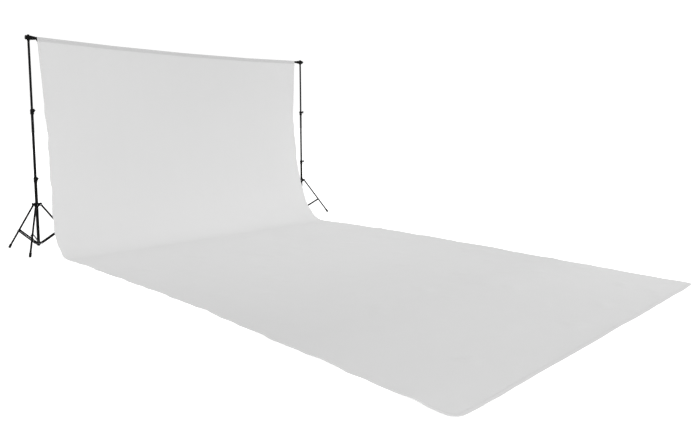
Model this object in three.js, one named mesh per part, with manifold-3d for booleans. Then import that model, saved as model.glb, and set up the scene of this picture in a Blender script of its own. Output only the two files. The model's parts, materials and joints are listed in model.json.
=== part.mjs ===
// Background support system: two telescopic light stands, a four-section crossbar and a white cloth.
// Millimetres, +Z up. The cloth runs out along the floor towards -Y.
import * as THREE from 'three';
import { mergeGeometries, mergeVertices } from 'three/addons/utils/BufferGeometryUtils.js';
import Module from 'manifold-3d';

const wasm = await Module();
wasm.setup();

// ---- driving dimensions -------------------------------------------------------------------
const GAP = 0.3;                    // clearance between touching pieces
const POST_SPAN = 3000;             // between the two stand axes
const BAR_Z = { left: 1850, right: 1822 };      // crossbar axis at each stand
const BAR_SAG = 28;                 // how far the crossbar's middle hangs below the line between its ends

const BASE_TUBE = { r: 12.5, wall: 1.2, bottom: 45, top: 618 };
const MIDDLE_TUBE = { r: 11, wall: 1.1, bottom: 558, top: 1212 };
const UPPER_TUBE = { r: 9.5, wall: 1.0, length: 676, belowBar: 24 };

const SCREW_R = 3;                  // screws of the clamping knobs
const COLLAR = { r: 15.5, height: 46, chamfer: 3, bossR: 8, bossLength: 9 };
const KNOB = { face: 20.5, length: 11, coreR: 9, lobeR: 5, lobeCircleR: 10.5, lobes: 5 };
const WING_KNOB = { face: 27.5, length: 11, coreR: 6.5, halfSpan: 21, halfThickness: 2.2 };
const LOWER_COLLAR_Z = 621;
const UPPER_COLLAR_Z = 1215;
const COLLAR_KNOB_AZ = { left: -80, right: -30 };     // where the clamping knobs point, in degrees from +X

const LEG_HUB_Z = 403;              // height of the leg pivots
const LEG_PIVOT_R = 33;
const LEG_HUB = { r: 19.5, below: 18, above: 14, earGap: 0.6, earThickness: 3, bossR: 7.5, bossEnd: 27 };
const LEG = { r: 8, wall: 1.2, overhang: 8, pinR: 3, spacerR: 5 };
const FOOT_R = 315;                 // foot circle about the column
const FOOT = { ballR: 11, r: 11, sole: 8, length: 30, chamfer: 1.5 };
const BRACE_ALONG_LEG = 292;        // from the leg's pivot to the brace's
const BRACE_HUB_Z = 59;
const BRACE_PIVOT_R = 24;
const BRACE_HUB = { r: 17, below: 12, above: 14, lugHalfWidth: 6, lugR: 7 };
const BASE_PLUG = { head: 8, stem: 6, chamfer: 3 };
const BRACE = { halfGap: 11.4, strip: 1.6, halfHeight: 7.5, pinR: 2.5 };
const HUB_KNOB_AZ = 60;             // from the first leg, half-way to the second

const LEFT_FIRST_LEG_AZ = 121.2;    // first leg of each stand, in degrees from +X
const RIGHT_FIRST_LEG_AZ = 325.2;

const BAR = { r: 12.5, wall: 1.3, endWall: 3, plug: 60, plugWall: 2.2, buttonR: 3, buttonRise: 1 };
const BAR_TAIL = { left: 24, right: 38 };       // how far the crossbar runs on past each stand's axis
const BRACKET = { r: 19, noseR: 14.3, outer: 25, straight: 16, inner: 52, bootR: 12.5, bootBottom: 26 };
const STUD = { r: 4, aboveBar: 27, plug: 30, flange: 3 };
const THUMB_NUT = { r: 9.5, height: 6, chamfer: 1.5 };

const CLOTH = { thickness: 0.6, front: -4420, cornerR: 70, pocketR: 16 };
// Half-width of the cloth on each side, as [distance along it from the crossbar, half-width].
const CLOTH_EDGE = {
  left: [[0, 1435], [850, 1404], [1300, 1418], [1900, 1472], [2300, 1435], [2850, 1411], [3450, 1368], [6100, 1358]],
  right: [[0, 1400], [800, 1350], [1500, 1336], [2000, 1296], [2500, 1352], [6100, 1343]],
};
// The hanging curve in the YZ plane: down from the crossbar, forward and onto the floor.
const SWEEP = new THREE.CubicBezierCurve(
  new THREE.Vector2(-17.5, BAR_Z.left - 12),
  new THREE.Vector2(-17.5, 700),
  new THREE.Vector2(-180, 0),
  new THREE.Vector2(-660, 0),
);
const WALL_SHARE = 0.52;            // share of the curve's length where the wall ends and the sweep starts
const SEGMENTS = 16;                // sides of the tubes and other large round pieces
const LEG_SEGMENTS = 12;            // sides of the tripod legs and their feet
const FINE = 10;                    // sides of pins, screws, bosses and their holes

// ---- materials ----------------------------------------------------------------------------
const blackPaint = () => new THREE.MeshStandardMaterial({ color: 0x17161a, roughness: 0.38, metalness: 0.6 });
const blackPlastic = () => new THREE.MeshStandardMaterial({ color: 0x141414, roughness: 0.55, metalness: 0 });
const blackRubber = () => new THREE.MeshStandardMaterial({ color: 0x0f0f0f, roughness: 0.85, metalness: 0 });
const zincSteel = () => new THREE.MeshStandardMaterial({ color: 0xb8babd, roughness: 0.3, metalness: 1 });
const whiteCloth = () => new THREE.MeshStandardMaterial({ color: 0xdcdcdc, roughness: 0.9, metalness: 0 });

// ---- solid helpers ------------------------------------------------------------------------
const radians = THREE.MathUtils.degToRad;

function clean(geometry) {
  const bare = geometry.index ? geometry.toNonIndexed() : geometry.clone();
  bare.deleteAttribute('normal');
  bare.deleteAttribute('uv');
  return mergeVertices(bare, 1e-4);
}

function toManifold(geometry) {
  const bare = clean(geometry);
  return new wasm.Manifold(new wasm.Mesh({
    numProp: 3,
    vertProperties: new Float32Array(bare.attributes.position.array),
    triVerts: new Uint32Array(bare.index.array),
  }));
}

function toGeometry(manifold) {
  const mesh = manifold.getMesh();
  const geometry = new THREE.BufferGeometry();
  geometry.setAttribute('position', new THREE.BufferAttribute(mesh.vertProperties, 3));
  geometry.setIndex(new THREE.BufferAttribute(mesh.triVerts, 1));
  return geometry;
}

// Joins `added` and then cuts `removed`; both are lists of overlapping geometries.
function carve(added, removed = []) {
  let body = toManifold(added[0]);
  for (const piece of added.slice(1)) body = body.add(toManifold(piece));
  for (const piece of removed) body = body.subtract(toManifold(piece));
  return toGeometry(body);
}

// Turns a profile of [radius, z] points about the Z axis.
function turned(profile, segments = SEGMENTS) {
  const points = profile.map(([r, z]) => new THREE.Vector2(r, z));
  return new THREE.LatheGeometry(points, segments).rotateX(Math.PI / 2);
}

function ring(outer, inner, z0, z1, segments = SEGMENTS) {
  return turned([[inner, z0], [outer, z0], [outer, z1], [inner, z1], [inner, z0]], segments);
}

function rod(r, z0, z1, segments = SEGMENTS) {
  return turned([[0, z0], [r, z0], [r, z1], [0, z1]], segments);
}

function block(x0, x1, y0, y1, z0, z1) {
  return new THREE.BoxGeometry(x1 - x0, y1 - y0, z1 - z0)
    .translate((x0 + x1) / 2, (y0 + y1) / 2, (z0 + z1) / 2);
}

// A rod along Y between two y values, at (x, z).
function crossRod(r, x, z, y0, y1, segments = FINE) {
  return rod(r, y0, y1, segments).rotateX(-Math.PI / 2).translate(x, 0, z);
}

// A flat plate in the XZ plane from an outline of [x, z] points, between two y values.
function plate(outline, y0, y1) {
  const shape = new THREE.Shape(outline.map(([x, z]) => new THREE.Vector2(x, z)));
  const geometry = new THREE.ExtrudeGeometry(shape, { depth: y1 - y0, bevelEnabled: false });
  return geometry.rotateX(Math.PI / 2).translate(0, y1, 0);
}

// A thin sheet: a box of nu by nv cells whose points are moved to place(u, v, face).
function sheet(nu, nv, place) {
  const geometry = new THREE.BoxGeometry(1, 1, 1, nu, nv, 1);
  const position = geometry.attributes.position;
  for (let i = 0; i < position.count; i += 1) {
    const u = position.getX(i) + 0.5;
    const v = position.getY(i) + 0.5;
    const face = position.getZ(i) + 0.5;
    position.setXYZ(i, ...place(u, v, face));
  }
  return geometry;
}

function named(name, geometry, material) {
  const mesh = new THREE.Mesh(clean(geometry), material);
  mesh.name = name;
  return mesh;
}

// ---- stand --------------------------------------------------------------------------------
function tubeGeometry(tube) {
  return ring(tube.r, tube.r - tube.wall, tube.bottom, tube.top);
}

// The upper tube's ends, which follow the height of the crossbar at that stand.
function upperTube(side) {
  const top = BAR_Z[side] - UPPER_TUBE.belowBar;
  return { ...UPPER_TUBE, top, bottom: top - UPPER_TUBE.length };
}

// A rod along +X between two x values.
function outRod(r, x0, x1, segments = FINE) {
  return rod(r, x0, x1, segments).rotateY(Math.PI / 2);
}

// Collar at z = 0: it grips the lower, wider tube and guides the narrower one; a boss takes the screw.
function collarGeometry(wideR, narrowR) {
  const { r, height, chamfer, bossR, bossLength } = COLLAR;
  const half = height / 2;
  const body = turned([
    [wideR + GAP, -half],
    [r - chamfer / 2, -half],
    [r, -half + chamfer],
    [r, half - chamfer],
    [r - chamfer, half],
    [narrowR + GAP, half],
    [narrowR + GAP, 0],
    [wideR + GAP, 0],
    [wideR + GAP, -half],
  ]);
  const bossStart = r - 5;
  const boss = outRod(bossR, bossStart, bossStart + bossLength).translate(0, 0, half / 2);
  const screwHole = outRod(SCREW_R + GAP, 0, 2 * r).translate(0, 0, half / 2);
  const bore = rod(narrowR + GAP, -half - 1, half + 1);
  const socket = rod(wideR + GAP, -half - 1, 0);
  return carve([body, boss], [bore, socket, screwHole]);
}

// Lobed clamping knob with its screw along +X, starting at the tube it presses on.
function knobGeometry(tipX) {
  const { face, length, coreR, lobeR, lobeCircleR, lobes } = KNOB;
  const shells = [outRod(coreR, face, face + length), outRod(SCREW_R, tipX, face + 2)];
  for (let k = 0; k < lobes; k += 1) {
    const angle = (2 * Math.PI * k) / lobes;
    const lobe = outRod(lobeR, face, face + length, 8);
    shells.push(lobe.translate(0, lobeCircleR * Math.sin(angle), -lobeCircleR * Math.cos(angle)));
  }
  return carve(shells);
}

// Leg hub around the column at z = 0, with three forked ears; the first ear points along +X.
const EAR = [[14, -11], [26, -13], [40, -9], [43, 0], [41, 12], [34, 15], [14, 7]];

function legHubGeometry() {
  const earIn = LEG.r + LEG_HUB.earGap;
  const earOut = earIn + LEG_HUB.earThickness;
  const pinEnd = earOut + 1.5;
  const forks = [];
  for (let leg = 0; leg < 3; leg += 1) {
    const turn = radians(120 * leg);
    forks.push(plate(EAR, earIn, earOut).rotateZ(turn));
    forks.push(plate(EAR, -earOut, -earIn).rotateZ(turn));
    forks.push(crossRod(LEG.pinR, LEG_PIVOT_R, 0, -pinEnd, pinEnd).rotateZ(turn));
  }
  const body = rod(LEG_HUB.r, -LEG_HUB.below, LEG_HUB.above);
  const screwTurn = radians(HUB_KNOB_AZ);
  const boss = outRod(LEG_HUB.bossR, BASE_TUBE.r + 2, LEG_HUB.bossEnd).rotateZ(screwTurn);
  const bore = rod(BASE_TUBE.r + GAP, -LEG_HUB.below - 1, LEG_HUB.above + 1);
  const screwHole = outRod(SCREW_R + GAP, 0, 2 * LEG_HUB.r).rotateZ(screwTurn);
  return carve([body, boss, ...forks], [bore, screwHole]);
}

// Wing knob with its screw along +X.
function wingKnobGeometry(tipX) {
  const { face, length, coreR, halfSpan: span, halfThickness } = WING_KNOB;
  const upper = [[face + 2, 3], [face + 7, span - 2], [face + 14, span], [face + 12, 9]];
  const lower = upper.map(([x, z]) => [x, -z]).reverse();
  return carve([
    outRod(coreR, face, face + length),
    outRod(SCREW_R, tipX, face + 2),
    plate([...upper, ...lower], -halfThickness, halfThickness),
  ]);
}

// Brace hub at z = 0, round the column's foot, with three lugs; the first points along +X.
function braceHubGeometry() {
  const { r, below, above, lugHalfWidth: w, lugR } = BRACE_HUB;
  const lugs = [];
  const holes = [];
  for (let leg = 0; leg < 3; leg += 1) {
    const turn = radians(120 * leg);
    lugs.push(block(r - 4, BRACE_PIVOT_R, -w, w, -lugR, lugR).rotateZ(turn));
    lugs.push(crossRod(lugR, BRACE_PIVOT_R, 0, -w, w, SEGMENTS).rotateZ(turn));
    holes.push(crossRod(BRACE.pinR + GAP, BRACE_PIVOT_R, 0, -2 * w, 2 * w).rotateZ(turn));
  }
  return carve([ring(r, BASE_TUBE.r + GAP, -below, above), ...lugs], holes);
}

// Plug in the foot of the column: a head below the tube and a stem inside it.
function basePlugGeometry() {
  const { head, stem, chamfer } = BASE_PLUG;
  const stemR = BASE_TUBE.r - BASE_TUBE.wall - GAP;
  const tubeFoot = BASE_TUBE.bottom;
  return turned([
    [0, tubeFoot - head],
    [BASE_TUBE.r - chamfer, tubeFoot - head],
    [BASE_TUBE.r, tubeFoot - head + chamfer],
    [BASE_TUBE.r, tubeFoot - GAP],
    [stemR, tubeFoot - GAP],
    [stemR, tubeFoot + stem],
    [0, tubeFoot + stem],
  ]);
}

const legTilt = Math.atan2(FOOT_R - LEG_PIVOT_R, LEG_HUB_Z - FOOT.ballR);
const legLength = Math.hypot(FOOT_R - LEG_PIVOT_R, LEG_HUB_Z - FOOT.ballR);

// Leg with its pivot at the origin, hanging along -Z; a spacer boss marks the brace's rivet.
function legGeometry() {
  const tubeEnd = -legLength + FOOT.sole;
  const bossEnd = BRACE.halfGap - 2 * GAP;
  const boss = crossRod(LEG.spacerR, 0, -BRACE_ALONG_LEG, -bossEnd, bossEnd);
  return carve(
    [rod(LEG.r, tubeEnd, LEG.overhang, LEG_SEGMENTS), boss],
    [
      rod(LEG.r - LEG.wall, tubeEnd - 1, LEG.overhang + 1, LEG_SEGMENTS),
      crossRod(LEG.pinR + GAP, 0, 0, -LEG.r - 1, LEG.r + 1),
    ],
  );
}

// Rubber foot in the leg's frame: a cup over the tube with a rounded tip.
function footGeometry() {
  const ball = FOOT.ballR;
  const tipZ = -legLength;
  const arc = [0, 30, 60, 90].map((degree) => [
    ball * Math.sin(radians(degree)),
    tipZ - ball * Math.cos(radians(degree)),
  ]);
  const lip = tipZ + FOOT.length;
  const seat = tipZ + FOOT.sole - GAP;
  return turned([
    ...arc,
    [FOOT.r, lip - 2 * FOOT.chamfer],
    [FOOT.r - FOOT.chamfer, lip],
    [LEG.r + GAP, lip],
    [LEG.r + GAP, seat],
    [0, seat],
  ], LEG_SEGMENTS);
}

const bracePoint = {
  r: LEG_PIVOT_R + BRACE_ALONG_LEG * Math.sin(legTilt),
  z: LEG_HUB_Z - BRACE_ALONG_LEG * Math.cos(legTilt),
};
const braceLength = Math.hypot(bracePoint.r - BRACE_PIVOT_R, bracePoint.z - BRACE_HUB_Z);
const braceTilt = Math.atan2(bracePoint.r - BRACE_PIVOT_R, bracePoint.z - BRACE_HUB_Z);

// Brace with its hub pin at the origin, standing along +Z: two strips joined by the pin.
function braceGeometry() {
  const { halfGap, strip, halfHeight, pinR } = BRACE;
  const steps = 4;
  const outline = [];
  for (const [start, z] of [[Math.PI, 0], [0, braceLength]]) {
    for (let step = 0; step <= steps; step += 1) {
      const angle = start + (Math.PI * step) / steps;
      outline.push([halfHeight * Math.cos(angle), z + halfHeight * Math.sin(angle)]);
    }
  }
  return carve([
    plate(outline, halfGap, halfGap + strip),
    plate(outline, -halfGap - strip, -halfGap),
    crossRod(pinR, 0, 0, -halfGap - strip / 2, halfGap + strip / 2),
  ]);
}

function stand(side, x, firstLegAz) {
  const group = new THREE.Group();
  group.position.set(x, 0, 0);
  const add = (name, geometry, material) => {
    const mesh = named(`${side}_${name}`, geometry, material);
    group.add(mesh);
    return mesh;
  };

  add('base_tube', tubeGeometry(BASE_TUBE), blackPaint());
  add('middle_tube', tubeGeometry(MIDDLE_TUBE), blackPaint());
  add('upper_tube', tubeGeometry(upperTube(side)), blackPaint());
  add('base_plug', basePlugGeometry(), blackPlastic());

  const collars = [
    ['lower', LOWER_COLLAR_Z, BASE_TUBE.r, MIDDLE_TUBE.r],
    ['upper', UPPER_COLLAR_Z, MIDDLE_TUBE.r, UPPER_TUBE.r],
  ];
  for (const [level, z, wideR, narrowR] of collars) {
    const collar = add(`${level}_collar`, collarGeometry(wideR, narrowR), blackPlastic());
    collar.position.z = z;
    collar.rotation.z = radians(COLLAR_KNOB_AZ[side]);
    const knob = add(`${level}_knob`, knobGeometry(narrowR + GAP), blackPlastic());
    knob.position.z = z + COLLAR.height / 4;
    knob.rotation.z = radians(COLLAR_KNOB_AZ[side]);
  }

  const hub = add('leg_hub', legHubGeometry(), blackPlastic());
  hub.position.z = LEG_HUB_Z;
  hub.rotation.z = radians(firstLegAz);
  const hubKnob = add('leg_hub_knob', wingKnobGeometry(BASE_TUBE.r + GAP), blackPlastic());
  hubKnob.position.z = LEG_HUB_Z;
  hubKnob.rotation.z = radians(firstLegAz + HUB_KNOB_AZ);
  const braceHub = add('brace_hub', braceHubGeometry(), blackPlastic());
  braceHub.position.z = BRACE_HUB_Z;
  braceHub.rotation.z = radians(firstLegAz);

  for (let leg = 0; leg < 3; leg += 1) {
    const turn = new THREE.Group();
    turn.rotation.z = radians(firstLegAz + 120 * leg);
    group.add(turn);
    const legFrame = new THREE.Group();
    legFrame.position.set(LEG_PIVOT_R, 0, LEG_HUB_Z);
    legFrame.rotation.y = -legTilt;
    legFrame.add(named(`${side}_leg_${leg + 1}`, legGeometry(), blackPaint()));
    legFrame.add(named(`${side}_foot_${leg + 1}`, footGeometry(), blackRubber()));
    turn.add(legFrame);
    const brace = named(`${side}_brace_${leg + 1}`, braceGeometry(), blackPaint());
    brace.position.set(BRACE_PIVOT_R, 0, BRACE_HUB_Z);
    brace.rotation.y = braceTilt;
    turn.add(brace);
  }

  add('stud', studGeometry(side), zincSteel());
  add('thumb_nut', thumbNutGeometry(side), blackPlastic());
  return group;
}

// Stud: a plug inside the upper tube, a flange on its rim and a threaded rod up through the crossbar.
function studGeometry(side) {
  const plugR = UPPER_TUBE.r - UPPER_TUBE.wall - GAP;
  const rim = upperTube(side).top + GAP;
  const top = BAR_Z[side] + STUD.aboveBar;
  return turned([
    [0, rim - STUD.plug],
    [plugR, rim - STUD.plug],
    [plugR, rim],
    [UPPER_TUBE.r, rim],
    [UPPER_TUBE.r, rim + STUD.flange],
    [STUD.r, rim + STUD.flange],
    [STUD.r, top - 1],
    [STUD.r - 1, top],
    [0, top],
  ], FINE);
}

// Thumb nut: a low disc on the stud that clamps the bracket.
function thumbNutGeometry(side) {
  const { r, height, chamfer } = THUMB_NUT;
  const seat = BAR_Z[side] + BRACKET.r + 3 * GAP;       // clears the barrel, which slopes
  return turned([
    [STUD.r + GAP, seat],
    [r, seat],
    [r, seat + height - chamfer],
    [r - chamfer, seat + height],
    [STUD.r + GAP, seat + height],
    [STUD.r + GAP, seat],
  ]);
}

// ---- crossbar -----------------------------------------------------------------------------
const halfSpan = POST_SPAN / 2;
function sagAt(x) {
  const share = x / halfSpan;
  const chord = THREE.MathUtils.lerp(BAR_Z.left, BAR_Z.right, (1 + share) / 2);
  return chord - BAR_SAG * (1 - share ** 2);
}

const BAR_ENDS = [-1, -0.5, 0, 0.5, 1].map((share) => new THREE.Vector3(
  share * halfSpan,
  0,
  sagAt(share * halfSpan),
));

// Height of the bar's axis at x, along the straight sections.
function barZ(x) {
  const quarter = halfSpan / 2;
  const from = quarter * Math.min(1, Math.max(-2, Math.floor(x / quarter)));
  const share = (x - from) / quarter;
  return sagAt(from) * (1 - share) + sagAt(from + quarter) * share;
}

// Lays a geometry made about +Z along the line from one point to another in the XZ plane.
function laid(geometry, from, to) {
  const direction = to.clone().sub(from).normalize();
  const turn = new THREE.Quaternion().setFromUnitVectors(new THREE.Vector3(0, 0, 1), direction);
  return geometry.applyQuaternion(turn).translate(from.x, from.y, from.z);
}

// A straight rod between two points in the XZ plane.
function along(from, to, r) {
  return laid(rod(r, 0, from.distanceTo(to)), from, to);
}

function towards(from, to, distance) {
  return from.clone().add(to.clone().sub(from).normalize().multiplyScalar(distance));
}

// The hole in the top of two nested tubes that a snap button stands through.
function buttonHole(from, to) {
  const spot = towards(from, to, BAR.plug / 2);
  return rod(BAR.buttonR + GAP, spot.z, spot.z + 2 * BAR.r, FINE).translate(spot.x, 0, 0);
}

// Section `index` runs between two joints; all but the last end in a plug inside the next one.
function barSectionGeometry(index) {
  const a = BAR_ENDS[index];
  const b = BAR_ENDS[index + 1];
  const first = index === 0;
  const last = index === BAR_ENDS.length - 2;
  const start = towards(a, b, first ? -BAR_TAIL.left : 2 * GAP);
  const end = towards(b, a, last ? -BAR_TAIL.right : 0);
  const bore = BAR.r - BAR.wall;
  const closed = BAR.plug / 4;        // length of solid tube behind each plug
  const boreStart = towards(start, end, first ? BAR.endWall : -BAR.endWall);
  const boreEnd = towards(end, start, last ? BAR.endWall : closed);
  const added = [along(start, end, BAR.r)];
  const removed = [along(boreStart, boreEnd, bore)];
  if (!last) {
    const next = BAR_ENDS[index + 2];
    const plugBore = bore - GAP - BAR.plugWall;
    added.push(along(towards(b, next, -closed), towards(b, next, BAR.plug), bore - GAP));
    removed.push(along(towards(b, next, closed), towards(b, next, BAR.plug + closed), plugBore));
    removed.push(buttonHole(b, next));
  }
  if (!first) removed.push(buttonHole(a, b));
  if (first || last) {
    const post = first ? a : b;
    removed.push(rod(STUD.r + GAP, post.z - 2 * BAR.r, post.z + 2 * BAR.r, FINE).translate(post.x, 0, 0));
  }
  return carve(added, removed);
}

// Snap button: a dome that stands through both walls on a foot inside the plug.
function snapButtonGeometry(index) {
  const spot = towards(BAR_ENDS[index], BAR_ENDS[index + 1], BAR.plug / 2);
  const plugBore = BAR.r - BAR.wall - GAP - BAR.plugWall;
  const shoulder = spot.z + plugBore - 5 * GAP;
  const foot = shoulder - 3.5;
  const footR = BAR.buttonR + 1.5;
  const top = spot.z + BAR.r + BAR.buttonRise;
  return turned([
    [0, foot],
    [footR, foot],
    [footR, shoulder],
    [BAR.buttonR, shoulder],
    [BAR.buttonR, top - BAR.buttonRise],
    [BAR.buttonR - 1, top],
    [0, top],
  ], FINE).translate(spot.x, 0, 0);
}

// End bracket: a sleeve round the bar that tapers towards the cloth, with a boot on the stand's top.
function bracketGeometry(side) {
  const { r, noseR, outer, straight, inner, bootR, bootBottom } = BRACKET;
  const post = side === 'left' ? BAR_ENDS[0] : BAR_ENDS[4];
  const next = side === 'left' ? BAR_ENDS[1] : BAR_ENDS[3];
  const sleeve = turned([[0, -outer], [r, -outer], [r, straight], [noseR, inner], [0, inner]]);
  const bootStart = post.z - bootBottom;
  const flangeTop = upperTube(side).top + STUD.flange + 2 * GAP;
  return carve(
    [
      laid(sleeve, post, next),
      rod(bootR, bootStart, post.z - r / 2).translate(post.x, 0, 0),
    ],
    [
      along(towards(post, next, -2 * outer), towards(post, next, 2 * inner), BAR.r + GAP),
      rod(UPPER_TUBE.r + GAP, bootStart - 1, flangeTop, SEGMENTS).translate(post.x, 0, 0),
      rod(STUD.r + GAP, flangeTop - 1, post.z + 2 * r, FINE).translate(post.x, 0, 0),
    ],
  );
}

function crossbar() {
  const group = new THREE.Group();
  for (let index = 0; index < 4; index += 1) {
    group.add(named(`crossbar_section_${index + 1}`, barSectionGeometry(index), blackPaint()));
  }
  for (let index = 1; index < 4; index += 1) {
    group.add(named(`snap_button_${index}`, snapButtonGeometry(index), zincSteel()));
  }
  for (const side of ['left', 'right']) {
    group.add(named(`${side}_bracket`, bracketGeometry(side), blackPlastic()));
  }
  return group;
}

// ---- cloth --------------------------------------------------------------------------------
// Half-width on one side at a distance along the cloth from the crossbar.
function halfWidth(side, distance) {
  const stations = CLOTH_EDGE[side];
  const next = Math.max(1, stations.findIndex(([station]) => station >= distance));
  const [d0, w0] = stations[next - 1];
  const [d1, w1] = stations[next];
  return w0 + ((w1 - w0) * (distance - d0)) / (d1 - d0);
}

const sweepLength = SWEEP.getLength();

// Point on the hanging cloth: across u in 0..1, share t of the curve's length; face 0 is the back.
// The wall follows the bar's sag, which dies out towards the sweep.
function clothPoint(u, t, face) {
  const point = SWEEP.getPointAt(t);
  const tangent = SWEEP.getTangentAt(t);
  const lift = face * CLOTH.thickness;
  const distance = t * sweepLength;
  const x = THREE.MathUtils.lerp(-halfWidth('left', distance), halfWidth('right', distance), u);
  const fade = Math.max(0, 1 - t / WALL_SHARE) ** 2;
  const drop = (BAR_Z.left - barZ(x)) * fade;
  return [x, point.x + tangent.y * lift, point.y - drop - tangent.x * lift];
}

// The floor part's outline: its side stations, two rounded front corners and its straight back edge.
function floorOutline() {
  const { front, cornerR } = CLOTH;
  const back = SWEEP.v3.x - GAP;
  const run = sweepLength + back - front;
  const stations = (side) => CLOTH_EDGE[side]
    .filter(([distance]) => distance > sweepLength && distance < run)
    .map(([distance, half]) => [half, back - (distance - sweepLength)]);
  const left = -halfWidth('left', run);
  const right = halfWidth('right', run);
  const shape = new THREE.Shape();
  shape.moveTo(-halfWidth('left', sweepLength), back);
  for (const [half, y] of stations('left')) shape.lineTo(-half, y);
  shape.lineTo(left, front + cornerR);
  shape.absarc(left + cornerR, front + cornerR, cornerR, Math.PI, 1.5 * Math.PI, false);
  shape.absarc(right - cornerR, front + cornerR, cornerR, 1.5 * Math.PI, 2 * Math.PI, false);
  for (const [half, y] of stations('right').reverse()) shape.lineTo(half, y);
  shape.lineTo(halfWidth('right', sweepLength), back);
  return shape;
}

// The rod pocket wraps the bar and stops short of the wall that hangs from it.
function pocketPoint(u, v, face) {
  const x = THREE.MathUtils.lerp(-halfWidth('left', 0), halfWidth('right', 0), u);
  const angle = radians(200 - 340 * v);
  const r = CLOTH.pocketR + face * CLOTH.thickness;
  return [x, r * Math.cos(angle), barZ(x) + r * Math.sin(angle)];
}

function backdrop() {
  const group = new THREE.Group();
  const floor = new THREE.ExtrudeGeometry(floorOutline(), {
    depth: CLOTH.thickness,
    bevelEnabled: false,
    curveSegments: 5,
  });
  const seam = GAP / sweepLength;
  const sweepPart = sheet(2, 10, (u, v, face) => (
    clothPoint(u, WALL_SHARE + (1 - WALL_SHARE) * (1 - v), face)
  ));
  const wallPart = sheet(4, 6, (u, v, face) => clothPoint(u, (WALL_SHARE - seam) * (1 - v), face));
  const pocket = sheet(4, 12, pocketPoint);
  group.add(named('backdrop_floor', floor, whiteCloth()));
  group.add(named('backdrop_sweep', sweepPart, whiteCloth()));
  group.add(named('backdrop_wall', wallPart, whiteCloth()));
  group.add(named('backdrop_pocket', pocket, whiteCloth()));
  return group;
}

// ---- assembly: the origin is the centre of the footprint, on the floor ---------------------
const assembly = new THREE.Group();
assembly.add(stand('left', -halfSpan, LEFT_FIRST_LEG_AZ));
assembly.add(stand('right', halfSpan, RIGHT_FIRST_LEG_AZ));
assembly.add(crossbar());
assembly.add(backdrop());

const footprint = new THREE.Box3().setFromObject(assembly, true);
const centre = footprint.getCenter(new THREE.Vector3());
assembly.position.set(-centre.x, -centre.y, -footprint.min.z);

const backgroundSupport = new THREE.Group();
backgroundSupport.add(assembly);

export default backgroundSupport;
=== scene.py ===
"""Background support system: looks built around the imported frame. Metres, +Z up, cloth towards -Y."""
import json
import math

import bpy
import numpy as np
from mathutils import Matrix, Vector


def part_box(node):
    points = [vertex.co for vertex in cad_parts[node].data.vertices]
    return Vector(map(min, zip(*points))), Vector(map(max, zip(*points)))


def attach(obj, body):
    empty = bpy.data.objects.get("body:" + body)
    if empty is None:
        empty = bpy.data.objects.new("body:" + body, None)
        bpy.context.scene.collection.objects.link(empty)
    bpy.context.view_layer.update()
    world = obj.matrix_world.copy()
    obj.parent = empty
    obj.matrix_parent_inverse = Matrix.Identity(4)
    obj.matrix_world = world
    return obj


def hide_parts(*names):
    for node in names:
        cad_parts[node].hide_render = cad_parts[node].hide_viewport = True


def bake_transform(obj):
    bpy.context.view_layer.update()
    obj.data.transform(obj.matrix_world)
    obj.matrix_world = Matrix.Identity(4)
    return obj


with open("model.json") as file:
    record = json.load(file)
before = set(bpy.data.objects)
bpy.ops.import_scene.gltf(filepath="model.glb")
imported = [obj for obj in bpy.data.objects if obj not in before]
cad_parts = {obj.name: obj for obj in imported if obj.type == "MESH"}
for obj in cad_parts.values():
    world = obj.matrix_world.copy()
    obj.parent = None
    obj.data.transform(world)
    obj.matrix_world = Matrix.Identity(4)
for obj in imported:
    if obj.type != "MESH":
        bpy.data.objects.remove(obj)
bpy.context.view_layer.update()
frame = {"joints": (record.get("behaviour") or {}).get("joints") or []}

MM = 0.001
JOINTS = {joint["name"]: joint for joint in frame["joints"]}


# ---- mesh helpers -------------------------------------------------------------------------
def mm_points(points):
    return [tuple(value * MM for value in point) for point in points]


def turned(profile, segments=48):
    """A profile of (radius, z) in millimetres turned about Z; it starts and ends on the axis."""
    points = mm_points(profile)
    angles = [2 * math.pi * k / segments for k in range(segments)]
    vertices = [(0, 0, points[0][1])]
    for radius, z in points[1:-1]:
        vertices += [(radius * math.cos(a), radius * math.sin(a), z) for a in angles]
    vertices.append((0, 0, points[-1][1]))
    last = len(vertices) - 1
    rows = len(points) - 2
    faces = []
    for k in range(segments):
        nxt = (k + 1) % segments
        faces.append((0, 1 + nxt, 1 + k))
        for row in range(rows - 1):
            a = 1 + row * segments
            b = a + segments
            faces.append((a + k, a + nxt, b + nxt, b + k))
        a = 1 + (rows - 1) * segments
        faces.append((a + k, a + nxt, last))
    return vertices, faces


def ring(profile, segments=48):
    """A closed profile of (radius, z) in millimetres turned about Z; it runs counter-clockwise."""
    points = mm_points(profile)
    angles = [2 * math.pi * k / segments for k in range(segments)]
    vertices = []
    for radius, z in points:
        vertices += [(radius * math.cos(a), radius * math.sin(a), z) for a in angles]
    faces = []
    count = len(points)
    for row in range(count):
        a = row * segments
        b = ((row + 1) % count) * segments
        for k in range(segments):
            nxt = (k + 1) % segments
            faces.append((a + k, a + nxt, b + nxt, b + k))
    return vertices, faces


def rod(radius, z0, z1, segments=32):
    return turned([(0, z0), (radius, z0), (radius, z1), (0, z1)], segments)


def pipe(outer, inner, z0, z1, segments=48):
    return ring([(inner, z0), (outer, z0), (outer, z1), (inner, z1)], segments)


def plate(outline, y0, y1):
    """A flat plate in the XZ plane from an outline of (x, z), between two y values, all in millimetres."""
    count = len(outline)
    vertices = mm_points([(x, y0, z) for x, z in outline] + [(x, y1, z) for x, z in outline])
    faces = [tuple(range(count)), tuple(range(2 * count - 1, count - 1, -1))]
    for k in range(count):
        nxt = (k + 1) % count
        faces.append((k, k + count, nxt + count, nxt))
    return vertices, faces


def moved(shell, matrix):
    vertices, faces = shell
    return [tuple(matrix @ Vector(v)) for v in vertices], faces


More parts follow.
